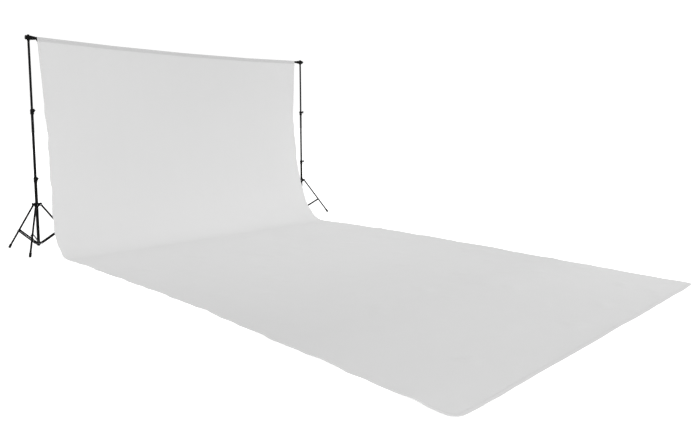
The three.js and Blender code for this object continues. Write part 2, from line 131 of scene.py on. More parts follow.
def shifted(shell, x=0, y=0, z=0):
    return moved(shell, Matrix.Translation(Vector((x, y, z)) * MM))


def spun(shell, degrees, axis="Z"):
    return moved(shell, Matrix.Rotation(math.radians(degrees), 4, axis))


def cross_rod(radius, x, z, y0, y1, segments=24):
    """A rod along Y at (x, z), in millimetres."""
    return shifted(spun(rod(radius, y0, y1, segments), -90, "X"), x=x, z=z)


def rivet_head(radius, height, x, z, y, outward):
    """A domed head on the face y, bulging along outward (1 or -1) in Y."""
    steps = 6
    profile = [(0, 0), (radius, 0)]
    for step in range(1, steps):
        angle = 0.5 * math.pi * step / steps
        profile.append((radius * math.cos(angle), height * math.sin(angle)))
    profile.append((0, height))
    dome = turned(profile, 20)
    return shifted(spun(dome, -90 * outward, "X"), x=x, y=y, z=z)


def smooth_outline(points, per_span=5):
    """A closed Catmull-Rom curve through the points."""
    count = len(points)
    made = []
    for k in range(count):
        p0, p1, p2, p3 = (Vector(points[(k + d) % count]) for d in (-1, 0, 1, 2))
        for step in range(per_span):
            t = step / per_span
            point = 0.5 * (2 * p1 + (p2 - p0) * t + (2 * p0 - 5 * p1 + 4 * p2 - p3) * t * t
                           + (3 * p1 - p0 - 3 * p2 + p3) * t ** 3)
            made.append(tuple(point))
    return made


def build(name, shells, material, bevel=0.0, bevel_segments=2, matrix=None):
    """One object from several closed shells, its edges rounded by `bevel` millimetres."""
    vertices, faces = [], []
    for shell_vertices, shell_faces in shells:
        base = len(vertices)
        vertices += shell_vertices
        faces += [tuple(base + i for i in face) for face in shell_faces]
    mesh = bpy.data.meshes.new(name)
    mesh.from_pydata(vertices, [], faces)
    mesh.update()
    if matrix is not None:
        mesh.transform(matrix)
    obj = bpy.data.objects.new(name, mesh)
    bpy.context.scene.collection.objects.link(obj)
    if bevel > 0:
        modifier = obj.modifiers.new("rounded edges", "BEVEL")
        modifier.width = bevel * MM
        modifier.segments = bevel_segments
        modifier.limit_method = "ANGLE"
        modifier.angle_limit = math.radians(32)
        graph = bpy.context.evaluated_depsgraph_get()
        rounded = bpy.data.meshes.new_from_object(obj.evaluated_get(graph))
        obj.modifiers.clear()
        obj.data = rounded
        obj.data.name = name
    for polygon in obj.data.polygons:
        polygon.use_smooth = True
    obj.data.set_sharp_from_angle(angle=math.radians(35))
    obj.data.materials.clear()
    obj.data.materials.append(material)
    return obj


def settle(obj, body, slot, *nodes):
    """The piece rides on its body and stands for its CAD nodes, which it hides; slot is not used."""
    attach(obj, body)
    if nodes:
        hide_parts(*nodes)
    return obj


# ---- materials ----------------------------------------------------------------------------
class Nodes:
    """A small wrapper that makes and links shader nodes."""

    def __init__(self, name):
        self.material = bpy.data.materials.new(name)
        self.material.use_nodes = True
        self.tree = self.material.node_tree
        self.tree.nodes.clear()
        self.shader = self.tree.nodes.new("ShaderNodeBsdfPrincipled")
        output = self.tree.nodes.new("ShaderNodeOutputMaterial")
        self.tree.links.new(self.shader.outputs[0], output.inputs[0])

    def add(self, kind, inputs=None, **settings):
        node = self.tree.nodes.new(kind)
        for key, value in settings.items():
            setattr(node, key, value)
        for key, value in (inputs or {}).items():
            self.feed(node.inputs[key], value)
        return node

    def feed(self, socket, value):
        if isinstance(value, bpy.types.NodeSocket):
            self.tree.links.new(value, socket)
        else:
            socket.default_value = value

    def set(self, **values):
        for key, value in values.items():
            self.feed(self.shader.inputs[key.replace("_", " ")], value)

    def noise(self, vector, scale, detail=3.0, roughness=0.5):
        return self.add("ShaderNodeTexNoise", {"Vector": vector, "Scale": scale, "Detail": detail,
                                               "Roughness": roughness}).outputs["Fac"]

    def remap(self, value, low, high, to_low, to_high):
        return self.add("ShaderNodeMapRange", {"Value": value, "From Min": low, "From Max": high,
                                               "To Min": to_low, "To Max": to_high}).outputs["Result"]

    def math(self, operation, a, b=0.0):
        node = self.add("ShaderNodeMath", operation=operation)
        self.feed(node.inputs[0], a)
        self.feed(node.inputs[1], b)
        return node.outputs[0]

    def ramp(self, value, stops):
        node = self.add("ShaderNodeValToRGB", {"Fac": value})
        elements = node.color_ramp.elements
        while len(elements) < len(stops):
            elements.new(0.5)
        for element, (position, colour) in zip(elements, stops):
            element.position = position
            element.color = (*colour, 1)
        return node.outputs["Color"]

    def stretched(self, scale):
        """Object coordinates, scaled unevenly."""
        coordinates = self.add("ShaderNodeTexCoord").outputs["Object"]
        return self.add("ShaderNodeMapping", {"Vector": coordinates, "Scale": scale}).outputs["Vector"]

    def bump(self, height, distance, strength=1.0, normal=None):
        node = self.add("ShaderNodeBump", {"Height": height, "Distance": distance, "Strength": strength})
        if normal is not None:
            self.feed(node.inputs["Normal"], normal)
        return node.outputs["Normal"]


def coated_tube_material():
    """Black satin coating on aluminium: fine orange peel, long faint rub marks and paler worn edges."""
    n = Nodes("black_tube_coating")
    place = n.stretched((1, 1, 1))
    edge = n.add("ShaderNodeNewGeometry").outputs["Pointiness"]
    worn = n.math("MULTIPLY", n.remap(edge, 0.52, 0.60, 0, 1), n.noise(place, 60, 4))
    rubs = n.noise(n.stretched((420, 420, 6)), 1, 2)
    tone = n.math("ADD", n.math("MULTIPLY", n.noise(place, 14, 5), 0.6), n.math("MULTIPLY", worn, 0.9))
    n.set(
        Base_Color=n.ramp(tone, [(0.2, (0.0012, 0.0012, 0.0013)), (0.55, (0.0026, 0.0025, 0.0026)),
                                 (1.0, (0.018, 0.017, 0.017))]),
        Specular_IOR_Level=0.06,
        Roughness=n.remap(rubs, 0.3, 0.7, 0.30, 0.46),
    )
    peel = n.bump(n.noise(place, 900, 2), 0.00008, 0.5)
    n.set(Normal=n.bump(rubs, 0.00003, 0.4, peel))
    return n.material


def moulded_plastic_material():
    """Black moulded plastic: spark-eroded grain, slightly uneven gloss and paler rubbed corners."""
    n = Nodes("black_moulded_plastic")
    place = n.stretched((1, 1, 1))
    edge = n.add("ShaderNodeNewGeometry").outputs["Pointiness"]
    rubbed = n.math("MULTIPLY", n.remap(edge, 0.53, 0.63, 0, 1), n.noise(place, 90, 4))
    tone = n.math("ADD", n.math("MULTIPLY", n.noise(place, 30, 4), 0.5), rubbed)
    n.set(
        Base_Color=n.ramp(tone, [(0.15, (0.0014, 0.0014, 0.0014)), (0.5, (0.0028, 0.0028, 0.0030)),
                                 (1.0, (0.016, 0.016, 0.017))]),
        Roughness=n.remap(n.noise(place, 25, 5), 0.3, 0.7, 0.42, 0.62),
        Specular_IOR_Level=0.06,
        Normal=n.bump(n.noise(place, 1600, 2), 0.00010, 0.55),
    )
    return n.material


def rubber_material():
    """Black rubber: matt, with grey dust gathered low down and a fine pebble."""
    n = Nodes("black_rubber")
    place = n.stretched((1, 1, 1))
    height = n.add("ShaderNodeSeparateXYZ", {"Vector": place}).outputs["Z"]
    low = n.remap(height, 0.0, 0.022, 1, 0)
    dust = n.math("MULTIPLY", low, n.noise(place, 160, 5))
    n.set(
        Base_Color=n.ramp(dust, [(0.1, (0.004, 0.004, 0.004)), (0.6, (0.030, 0.028, 0.026))]),
        Roughness=n.remap(n.noise(place, 120, 4), 0.3, 0.7, 0.72, 0.92),
        Specular_IOR_Level=0.06,
        Normal=n.bump(n.noise(place, 1300, 3), 0.00015, 0.6),
    )
    return n.material


def zinc_material():
    """Zinc-plated steel: bright, with a cloudy crystalline tone and fine turning lines."""
    n = Nodes("zinc_plated_steel")
    place = n.stretched((1, 1, 1))
    cloud = n.noise(place, 180, 5, 0.6)
    lines = n.noise(n.stretched((30, 30, 2600)), 1, 1)
    n.set(
        Base_Color=n.ramp(cloud, [(0.3, (0.40, 0.40, 0.41)), (0.7, (0.62, 0.63, 0.65))]),
        Metallic=1.0,
        Roughness=n.remap(cloud, 0.3, 0.7, 0.24, 0.40),
        Normal=n.bump(lines, 0.00004, 0.4),
    )
    return n.material


CLOTH_DARK, CLOTH_LIGHT = 0.482, 0.515
THREADS_PER_METRE = 1500            # muslin, about 15 threads to the centimetre each way
STITCH_INSET = 0.020                # the hem's stitching, from the folded edge
STITCH_PITCH = 0.0036
STITCH_HALF_WIDTH = 0.0006
CLOTH_LENGTH = 6.1                  # metres from the bar to the front edge
# Painted light and shade: factors on the cloth's colour along its length, darker at the top and on the middle
# of the floor, brightest at the wall's foot.
PAINTED_LIGHT_ALONG = [                       # at shares of that length
    (0.0, 0.905), (0.15, 0.935), (0.31, 0.944), (0.37, 1.03), (0.41, 1.03),
    (0.48, 0.99), (0.71, 0.915), (0.80, 0.907), (0.96, 0.985),
]


def cloth_material(bar_from, bar_to):
    """White muslin: plain weave in the cloth's own coordinates, slubs, creases, stitched hems, soft sheen;
    its colour carries painted light and shade along its length and a band of painted shade over the bar.
    """
    n = Nodes("white_muslin")
    cloth = n.add("ShaderNodeUVMap", uv_map="cloth").outputs["UV"]
    axes = n.add("ShaderNodeSeparateXYZ", {"Vector": cloth})
    across, along = axes.outputs["X"], axes.outputs["Y"]

    def wave(value, per_metre):
        return n.math("SINE", n.math("MULTIPLY", value, per_metre * math.pi))

    def streaks(scale, detail=3):
        mapped = n.add("ShaderNodeMapping", {"Vector": cloth, "Scale": scale}).outputs["Vector"]
        return n.noise(mapped, 1, detail, 0.6)

    weave = n.math("MULTIPLY", wave(across, THREADS_PER_METRE), wave(along, THREADS_PER_METRE))
    slubs = n.math("ADD", streaks((700, 18, 1)), streaks((18, 700, 1)))
    sewing = n.add("ShaderNodeUVMap", uv_map="stitching").outputs["UV"]
    hem = n.add("ShaderNodeSeparateXYZ", {"Vector": sewing})
    from_line = n.math("ABSOLUTE", n.math("SUBTRACT", hem.outputs["X"], STITCH_INSET))
    on_line = n.remap(from_line, STITCH_HALF_WIDTH, 0.5 * STITCH_HALF_WIDTH, 0, 1)
    dashes = n.remap(wave(hem.outputs["Y"], 2 / STITCH_PITCH), -0.6, -0.2, 0, 1)
    stitches = n.math("MULTIPLY", on_line, dashes)
    tone = n.math("ADD", n.math("MULTIPLY", n.noise(cloth, 1.3, 3), 0.35), n.math("MULTIPLY", slubs, 0.2))
    tone = n.math("ADD", tone, n.math("MULTIPLY", streaks((9, 0.5, 1), 2), 0.2))
    tone = n.math("SUBTRACT", tone, n.math("MULTIPLY", on_line, 0.25))
    # Painted shade: the colour is darkened by up to 16% in a band over the bar.
    painted_shade_band = n.math("MULTIPLY", n.remap(along, bar_from - 0.004, bar_from, 0, 1),
                      n.remap(along, bar_to, bar_to + 0.008, 1, 0))
    shade = n.remap(painted_shade_band, 0, 1, 1.0, 0.84)
    colour = n.ramp(n.math("ADD", tone, 0.25), [(0.1, (CLOTH_DARK,) * 3), (1.0, (CLOTH_LIGHT,) * 3)])
    # Painted light and shade along the cloth, then the painted shade over the bar, scale the colour.
    share = n.math("DIVIDE", along, CLOTH_LENGTH)
    painted_light = n.ramp(share, [(at, (value,) * 3) for at, value in PAINTED_LIGHT_ALONG])
    painted_light_colour = n.add("ShaderNodeVectorMath", operation="MULTIPLY")
    n.feed(painted_light_colour.inputs[0], colour)
    n.feed(painted_light_colour.inputs[1], painted_light)
    shaded = n.add("ShaderNodeVectorMath", {"Vector": painted_light_colour.outputs["Vector"], "Scale": shade},
                   operation="SCALE")
    n.set(
        Base_Color=shaded.outputs["Vector"],
        Roughness=n.remap(n.noise(cloth, 9, 5, 0.6), 0.3, 0.7, 0.82, 0.94),
        Specular_IOR_Level=0.2,
        Sheen_Weight=0.10,
        Sheen_Roughness=0.55,
    )
    woven = n.bump(weave, 0.00018, 0.5)
    slubbed = n.bump(slubs, 0.00025, 0.5, woven)
    sewn = n.bump(stitches, 0.0005, 1.0, slubbed)
    creases = n.add("ShaderNodeTexNoise", {"Vector": cloth, "Scale": 2.6, "Detail": 5.0, "Roughness": 0.55,
                                           "Distortion": 0.6}).outputs["Fac"]
    n.set(Normal=n.bump(creases, 0.004, 0.3, sewn))
    return n.material


TUBE = coated_tube_material()
PLASTIC = moulded_plastic_material()
RUBBER = rubber_material()
ZINC = zinc_material()


# ---- stand --------------------------------------------------------------------------------
GAP = 0.3
BRACE_ALONG_LEG = 292               # millimetres from the leg's pivot to the brace's rivet
STRIP_INNER = 11.4                  # half the space between a brace's strips
STRIP = 1.6
LEG_R = 8.0
LEG_PIVOT_R = 33                    # from the column's axis to a leg's pivot
BRACE_PIVOT_R = 24


def size_of(node):
    low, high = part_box(node)
    return (high - low) / MM


def stand_matrix(side):
    low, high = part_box(f"{side}_base_tube")
    middle = (low + high) / 2
    return Matrix.Translation((middle.x, middle.y, 0))


def along_matrix(joint_name):
    """The frame of a knob: X along its joint's axis, at the joint's place."""
    joint = JOINTS[joint_name]
    x, y, _ = joint["axis"]
    return Matrix.Translation(Vector(joint["pos_m"])) @ Matrix.Rotation(math.atan2(y, x), 4, "Z")


def radial_matrix(side, joint_name):
    """The frame of a leg or brace before it tilts: X away from the column, at its pivot."""
    pivot = Vector(JOINTS[joint_name]["pos_m"])
    column = stand_matrix(side).translation
    turn = math.atan2(pivot.y - column.y, pivot.x - column.x)
    return Matrix.Translation(pivot) @ Matrix.Rotation(turn, 4, "Z")


def tube(side, level, body, wall):
    node = f"{side}_{level}_tube"
    low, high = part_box(node)
    radius = size_of(node).x / 2
    shell = pipe(radius, radius - wall, low.z / MM, high.z / MM, 64)
    obj = build(f"{side}_{level}_tube_shell", [shell], TUBE, 0.3, 2, stand_matrix(side))
    settle(obj, body, "black_tube", node)


def knob_azimuth(side, level):
    axis = JOINTS[f"{side}_{level}_knob_turn"]["axis"]
    return math.degrees(math.atan2(axis[1], axis[0]))


def collar(side, level, body, wide_r, narrow_r):
    """A moulded clamp: a ribbed grip, a rolled lip and a boss that holds the screw's nut."""
    node = f"{side}_{level}_collar"
    low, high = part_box(node)
    middle = (low.z + high.z) / 2 / MM
    grip = ring([
        (wide_r + GAP, -23), (13.9, -23), (14.6, -21.5), (14.6, -18), (15.1, -17), (15.1, -4), (14.5, -3),
        (14.5, 2), (15.4, 3), (15.4, 16), (14.6, 18), (13.0, 22), (min(narrow_r + 1.6, 12.3), 23),
        (narrow_r + GAP, 23), (narrow_r + GAP, 0), (wide_r + GAP, 0),
    ], 64)
    ribs = [spun(shifted(pipe(0.7, 0.05, -16.4, -4.6, 8), x=15.0), 22.5 * k + 11) for k in range(16)]
    boss = ring([(3.3, 11), (8, 11), (8, 18), (7.3, 19.5), (3.3, 19.5)], 32)
    clamp_ear = plate([(-13.5, 4), (-18.5, 5), (-18.5, 17), (-13.5, 18)], -3.0, 3.0)
    azimuth = knob_azimuth(side, level)
    shells = [grip, *ribs, spun(shifted(spun(boss, 90, "Y"), z=11.5), azimuth), spun(clamp_ear, azimuth)]
    matrix = stand_matrix(side) @ Matrix.Translation((0, 0, middle * MM))
    obj = build(f"{side}_{level}_collar_body", shells, PLASTIC, 0.4, 2, matrix)
    settle(obj, body, "black_plastic", node)


def arc(radius, start, sweep, steps, x=0.0, z=0.0):
    """Points of a circular arc, its angles in degrees."""
    angles = [math.radians(start + sweep * k / steps) for k in range(steps + 1)]
    return [(x + radius * math.cos(a), z + radius * math.sin(a)) for a in angles]


def lobed_outline(radius, depth, lobes, count=90):
    outline = []
    for k in range(count):
        angle = 2 * math.pi * k / count
        reach = radius + depth * math.cos(lobes * angle)
        outline.append((reach * math.cos(angle), reach * math.sin(angle)))
    return outline


def star_knob(side, level, narrow_r):
    """A five-lobed knob with a dished cap, on a plated screw."""
    name = f"{side}_{level}_knob"
    matrix = along_matrix(f"{name}_turn")
    head = spun(plate(lobed_outline(13.0, 2.4, 5), -31.2, -22), 90)
    neck = spun(turned([(0, 20.5), (7.2, 20.5), (8.4, 22.6), (0, 22.6)], 32), 90, "Y")
    cap = spun(ring([(5.8, 30.6), (9.6, 30.6), (9.2, 31.5), (6.2, 31.3)], 40), 90, "Y")
    dish = spun(turned([(0, 30.4), (6, 30.4), (5.8, 31.2), (0, 31.0)], 40), 90, "Y")
    obj = build(f"{name}_head", [head, neck, cap, dish], PLASTIC, 1.0, 3, matrix)
    settle(obj, name, "black_plastic", name)
    screw = spun(rod(3, narrow_r + GAP, 21.5, 24), 90, "Y")
    settle(build(f"{name}_screw", [screw], ZINC, 0.3, 2, matrix), name, "zinc_steel")


def both(sign, near, far):
    """The span from near to far on one side of zero, lower end first."""
    return sorted((sign * near, sign * far))


def leg_hub(side):
    """The sliding hub: a flanged ring with three forks, their pivot pins and the screw boss."""
    node = f"{side}_leg_hub"
    pivot = radial_matrix(side, f"{side}_leg_1_fold")
    column = stand_matrix(side)
    hub_z = pivot.translation.z
    first = pivot.to_euler().z
    place = Vector((column.translation.x, column.translation.y, hub_z))
    matrix = Matrix.Translation(place) @ Matrix.Rotation(first, 4, "Z")
    body = ring([(12.8, -18), (18, -18), (19.5, -16.5), (19.5, -12), (17.8, -10.5), (17.8, 8), (19.3, 9.5),
                 (19.3, 12.5), (17.5, 14), (12.8, 14)], 64)
    ear = smooth_outline([(14, -10.5), (26, -12.5), (38, -9.5), (43, -1), (41.5, 10), (36, 15), (27, 12.5),
                          (14, 7)])
    shells, pins = [body], []
    for leg in range(3):
        for sign in (1, -1):
            shells.append(spun(plate(ear, *both(sign, 8.6, 11.6)), 120 * leg))
            shells.append(spun(cross_rod(6.2, LEG_PIVOT_R, 0, *both(sign, 11.4, 12.6), 28), 120 * leg))
            pins.append(spun(rivet_head(4.2, 1.5, LEG_PIVOT_R, 0, sign * 12.6, sign), 120 * leg))
        pins.append(spun(cross_rod(3, LEG_PIVOT_R, 0, -13, 13, 24), 120 * leg))
        web = plate([(14, -8), (22, -9), (22, 4), (14, 5)], -9, 9)
        shells.append(spun(web, 120 * leg))
    boss = ring([(3.3, 13.5), (7.5, 13.5), (7.5, 25.5), (6.8, 27), (3.3, 27)], 32)
    shells.append(spun(spun(boss, 90, "Y"), 60))
    settle(build(f"{side}_leg_hub_body", shells, PLASTIC, 0.6, 2, matrix), node, "black_plastic", node)
    settle(build(f"{side}_leg_hub_pins", pins, ZINC, 0.0, 2, matrix), node, "zinc_steel")


def wing_knob(side):
    """A two-winged knob on a plated screw."""
    name = f"{side}_leg_hub_knob"
    matrix = along_matrix(f"{name}_turn")
    core = spun(turned([(0, 27.5), (6.8, 27.5), (6.8, 33), (5.6, 38.5), (0, 38.5)], 32), 90, "Y")
    wing = smooth_outline([(29.5, 0), (30.5, 9), (33.5, 18.5), (39.5, 21), (41.2, 16), (37.5, 8), (37.5, 0),
                           (37.5, -8), (41.2, -16), (39.5, -21), (33.5, -18.5), (30.5, -9)], 4)
    obj = build(f"{name}_head", [core, plate(wing, -2.3, 2.3)], PLASTIC, 0.9, 3, matrix)
    settle(obj, name, "black_plastic", name)
    screw = spun(rod(3, 12.8, 29, 24), 90, "Y")
    settle(build(f"{name}_screw", [screw], ZINC, 0.3, 2, matrix), name, "zinc_steel")


def brace_hub(side):
    """The fixed hub at the column's foot with its three lugs."""
    node = f"{side}_brace_hub"
    pivot = radial_matrix(side, f"{side}_brace_1_fold")
    column = stand_matrix(side)
    matrix = (Matrix.Translation((column.translation.x, column.translation.y, pivot.translation.z))
              @ Matrix.Rotation(pivot.to_euler().z, 4, "Z"))
    shells = [ring([(12.8, -12), (15.8, -12), (17, -10.8), (17, -4), (16, -3), (16, 5), (17, 6), (17, 12),
                    (15.5, 14), (12.8, 14)], 64)]
    lug = [(13, -7), *arc(7, -90, 180, 12, x=BRACE_PIVOT_R), (13, 7)]
    for leg in range(3):
        shells.append(spun(plate(lug, -6, 6), 120 * leg))
    settle(build(f"{side}_brace_hub_body", shells, PLASTIC, 0.7, 2, matrix), "root", "black_plastic", node)


def base_plug(side):
    node = f"{side}_base_plug"
    low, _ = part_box(node)
    foot = low.z / MM
    shell = turned([(0, foot), (9, foot), (11.3, foot + 1), (12.4, foot + 3), (12.4, foot + 7.7),
                    (11, foot + 7.7), (11, foot + 14), (0, foot + 14)], 48)
    settle(build(f"{side}_base_plug_body", [shell], PLASTIC, 0.4, 2, stand_matrix(side)), "root",
           "black_plastic", node)


def leg_tilt(side, leg):
    return math.radians(JOINTS[f"{side}_leg_{leg}_fold"]["range_deg"][1])


def leg_and_foot(side, leg):
    """A tubular leg with a plugged top, the brace's spacer, and a grooved rubber foot."""
    name = f"{side}_leg_{leg}"
    matrix = radial_matrix(side, f"{name}_fold") @ Matrix.Rotation(-leg_tilt(side, leg), 4, "Y")
    pivot_z = JOINTS[f"{name}_fold"]["pos_m"][2] / MM
    ball = 11
    length = (pivot_z - ball) / math.cos(leg_tilt(side, leg))
    tube_shell = pipe(LEG_R, LEG_R - 1.2, -length + 8, 6.5, 48)
    spacer = [cross_rod(5, 0, -BRACE_ALONG_LEG, *both(sign, 7.4, STRIP_INNER - 0.6), 24) for sign in (1, -1)]
    settle(build(f"{name}_tube", [tube_shell, *spacer], TUBE, 0.3, 2, matrix), name, "black_tube", name)
    cap = turned([(0, 2), (6.6, 2), (6.6, 6.6), (8, 6.6), (7.6, 8), (0, 8.6)], 40)
    settle(build(f"{name}_cap", [cap], PLASTIC, 0.5, 2, matrix), name, "black_plastic")
    profile = [(0, -length - ball)]
    for step in range(1, 9):
        angle = 0.5 * math.pi * step / 8
        profile.append((ball * math.sin(angle), -length - ball * math.cos(angle)))
    for groove in range(3):
        z = -length + 4 + 5.5 * groove
        profile += [(ball, z), (ball - 0.9, z + 0.6), (ball - 0.9, z + 1.6), (ball, z + 2.2)]
    profile += [(ball, -length + 24), (9.6, -length + 30), (8.3, -length + 30), (8.3, -length + 7.7),
                (0, -length + 7.7)]
    foot = build(f"{side}_foot_{leg}_rubber", [turned(profile, 48)], RUBBER, 0.25, 2, matrix)
    settle(foot, name, "black_rubber", f"{side}_foot_{leg}")


def brace(side, leg):
    """A pair of pressed strips with a stiffening bead, riveted at both ends."""
    name = f"{side}_brace_{leg}"
    pivot = radial_matrix(side, f"{name}_fold")
    leg_pivot = radial_matrix(side, f"{side}_leg_{leg}_fold")
    tilt = leg_tilt(side, leg)
    top = leg_pivot @ (BRACE_ALONG_LEG * MM * Vector((math.sin(tilt), 0, -math.cos(tilt))))
    reach = pivot.inverted() @ top
    length = reach.length / MM
    matrix = pivot @ Matrix.Rotation(math.atan2(reach.x, reach.z), 4, "Y")
    half = 7.5
    outline = arc(half, 180, 180, 10) + arc(half, 0, 180, 10, z=length)
    bead = [(2.1, 16), (2.1, length - 16), (1.2, length - 14), (-1.2, length - 14), (-2.1, length - 16),
            (-2.1, 16), (-1.2, 14), (1.2, 14)]
    outer = STRIP_INNER + STRIP
    shells, rivets = [], []
    for sign in (1, -1):
        shells.append(plate(outline, *both(sign, STRIP_INNER, outer)))
        shells.append(plate(bead, *both(sign, outer - 0.2, outer + 0.5)))
        for z in (0, length):
            rivets.append(rivet_head(4, 1.4, 0, z, sign * outer, sign))
    rivets.append(cross_rod(2.5, 0, 0, -outer, outer, 20))
    settle(build(f"{name}_strips", shells, TUBE, 0.35, 2, matrix), name, "black_tube", name)
    settle(build(f"{name}_rivets", rivets, ZINC, 0.0, 2, matrix), name, "zinc_steel")


def stud(side):
    """The plug in the upper tube, the flange on its rim and the threaded rod up through the bracket."""
    node = f"{side}_stud"
    low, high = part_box(node)
    _, tube_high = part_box(f"{side}_upper_tube")
    foot, top = low.z / MM, high.z / MM
    rim = tube_high.z / MM + GAP
    profile = [(0, foot), (8.1, foot), (8.1, rim), (9.4, rim), (9.4, rim + 3), (3.9, rim + 3)]
    z = rim + 4
    while z < top - 2.2:
        profile += [(3.95, z), (3.3, z + 0.6)]
        z += 1.2
    profile += [(3.4, top - 1), (2.8, top), (0, top)]
    settle(build(f"{side}_threaded_stud", [turned(profile, 28)], ZINC, 0.0, 2, stand_matrix(side)),
           f"{side}_upper", "zinc_steel", node)


def thumb_nut(side):
    """A low knurled disc on the stud."""
    node = f"{side}_thumb_nut"
    low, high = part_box(node)
    seat, top = low.z / MM, high.z / MM
    disc = ring([(4.3, seat), (8.4, seat), (9.1, seat + 0.8), (9.1, top - 1.4), (8.2, top - 0.6),
                 (6.4, top - 0.1), (6, top - 0.8), (5, top - 0.8), (4.3, top - 0.5)], 64)
    shells = [disc]
    for k in range(24):
        rib = shifted(pipe(0.7, 0.05, seat + 1, top - 1.6, 8), x=8.8)
        shells.append(spun(rib, 15 * k))
    settle(build(f"{node}_disc", shells, PLASTIC, 0.25, 2, stand_matrix(side)), node, "black_plastic", node)


def stand(side):
    tube(side, "base", "root", 1.2)
    tube(side, "middle", f"{side}_middle", 1.1)
    tube(side, "upper", f"{side}_upper", 1.0)
    levels = ("base", "middle", "upper")
    base_r, middle_r, upper_r = (size_of(f"{side}_{level}_tube").x / 2 for level in levels)
    collar(side, "lower", "root", base_r, middle_r)
    collar(side, "upper", f"{side}_middle", middle_r, upper_r)
    star_knob(side, "lower", middle_r)
    star_knob(side, "upper", upper_r)
    leg_hub(side)
    wing_knob(side)
    brace_hub(side)
    base_plug(side)
    for leg in (1, 2, 3):
        leg_and_foot(side, leg)
        brace(side, leg)
    stud(side)
    thumb_nut(side)


# ---- crossbar -----------------------------------------------------------------------------
BAR_R = 12.5
STAND_X = {side: stand_matrix(side).translation.x for side in ("left", "right")}
STAND_Y = stand_matrix("left").translation.y


def bar_joints():
    """The axis points of the crossbar: the two stands and the three joints between sections."""
    quarter = (STAND_X["right"] - STAND_X["left"]) / 4
    radius = BAR_R * MM
    xs = [STAND_X["left"] + quarter * k for k in range(5)]
    zs = [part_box(f"crossbar_section_{k}")[0].z + radius for k in (1, 2, 3)]
    ends = []
    for section, joint, reach in ((1, zs[0], STAND_X["left"]), (4, zs[2], STAND_X["right"])):
        low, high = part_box(f"crossbar_section_{section}")
        tail = reach - low.x if section == 1 else high.x - reach
        ends.append(joint + (high.z - radius - joint) * quarter / (quarter + tail))
    return xs, [ends[0], *zs, ends[1]]


BAR_X, BAR_Z = bar_joints()


def bar_axis(x):
    return np.interp(x, BAR_X, BAR_Z)


def along_bar(index):
    """The frame of a section: Z along it, from its left joint."""
    start = Vector((BAR_X[index], STAND_Y, BAR_Z[index]))
    end = Vector((BAR_X[index + 1], STAND_Y, BAR_Z[index + 1]))
    turn = Vector((0, 0, 1)).rotation_difference(end - start).to_matrix().to_4x4()
    return Matrix.Translation(start) @ turn, (end - start).length / MM


def bar_tail(side):
    """How far the bar runs on past a stand's axis, in millimetres along itself."""
    low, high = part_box("crossbar_section_1" if side == "left" else "crossbar_section_4")
    return (STAND_X["left"] - low.x if side == "left" else high.x - STAND_X["right"]) / MM


def crossbar_section(index):
    """A tube with a cap in its outer end or, at an inner end, the plug that enters the next section."""
    matrix, length = along_bar(index)
    start = -bar_tail("left") if index == 0 else 0.6
    end = length + bar_tail("right") if index == 3 else length
    shells = [pipe(BAR_R, BAR_R - 1.3, start, end, 64)]
    if index == 0:
        shells.append(rod(BAR_R - 0.4, start + 0.4, start + 3, 48))
    if index == 3:
        shells.append(rod(BAR_R - 0.4, end - 3, end - 0.4, 48))
    obj = build(f"crossbar_tube_{index + 1}", shells, TUBE, 0.4, 2, matrix)
    settle(obj, "left_upper", "black_tube", f"crossbar_section_{index + 1}")
    if index < 3:
        following, _ = along_bar(index + 1)
        neck = pipe(BAR_R - 1.6, BAR_R - 3.8, -40, 60, 48)
        plug = build(f"crossbar_plug_{index + 1}", [neck], ZINC, 0.5, 2, following)
        settle(plug, "left_upper", "zinc_steel")


def snap_button(number):
    node = f"snap_button_{number}"
    low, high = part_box(node)
    middle = (low + high) / 2
    height = (high.z - low.z) / MM
    dome = [(3 * math.cos(a), height - 1.4 + 1.4 * math.sin(a))
            for a in (0.5 * math.pi * k / 6 for k in range(6))]
    shell = turned([(0, 0), (4.5, 0), (4.5, 3.5), (3, 3.5), *dome, (0, height)], 28)
    matrix = Matrix.Translation((middle.x, middle.y, low.z))
    settle(build(f"{node}_dome", [shell], ZINC, 0.2, 2, matrix), node, "zinc_steel", node)


def bracket(side):
    """The end casting: a ribbed sleeve on the bar, tapering towards the cloth, and a boot over the stand."""
    node = f"{side}_bracket"
    sign = 1 if side == "left" else -1
    matrix, length = along_bar(0 if side == "left" else 3)
    post = 0 if side == "left" else length
    mirror = Matrix.Translation((0, 0, post * MM)) @ Matrix.Diagonal((1, 1, sign, 1))
    sleeve = ring([
        (12.8, -25), (17.4, -25), (18.7, -23.8), (19, -21), (19, -14), (18.3, -13.2), (18.3, -11.6),
        (19, -10.8), (19, 10), (18.3, 10.8), (18.3, 12.4), (19, 13.2), (18.9, 16.5), (16.8, 33),
        (16.1, 33.8), (15.9, 35.2), (16.3, 36.2), (14.6, 50.6), (14, 52), (12.8, 52),
    ], 64)
    vertices, faces = moved(sleeve, mirror)
    if sign < 0:
        faces = [face[::-1] for face in faces]
    sleeve_piece = build(f"{side}_bracket_sleeve", [(vertices, faces)], PLASTIC, 0.4, 2, matrix)
    settle(sleeve_piece, "left_upper", "black_plastic", node)
    axis = (BAR_Z[0] if side == "left" else BAR_Z[-1]) / MM
    low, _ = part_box(node)
    foot = low.z / MM
    boot = ring([(9.9, foot), (11.8, foot), (12.5, foot + 0.8), (12.5, foot + 4), (12.1, foot + 5),
                 (12.1, axis - 14), (9.9, axis - 14)], 48)
    pad = ring([(4.4, axis + 16), (10.4, axis + 16), (10.2, axis + 19.5), (4.4, axis + 19.5)], 48)
    settle(build(f"{side}_bracket_boot", [boot, pad], PLASTIC, 0.3, 2, stand_matrix(side)), "left_upper",
           "black_plastic")


for stand_side in ("left", "right"):
    stand(stand_side)
    bracket(stand_side)
for section in range(4):
    crossbar_section(section)
for snap in (1, 2, 3):
    snap_button(snap)


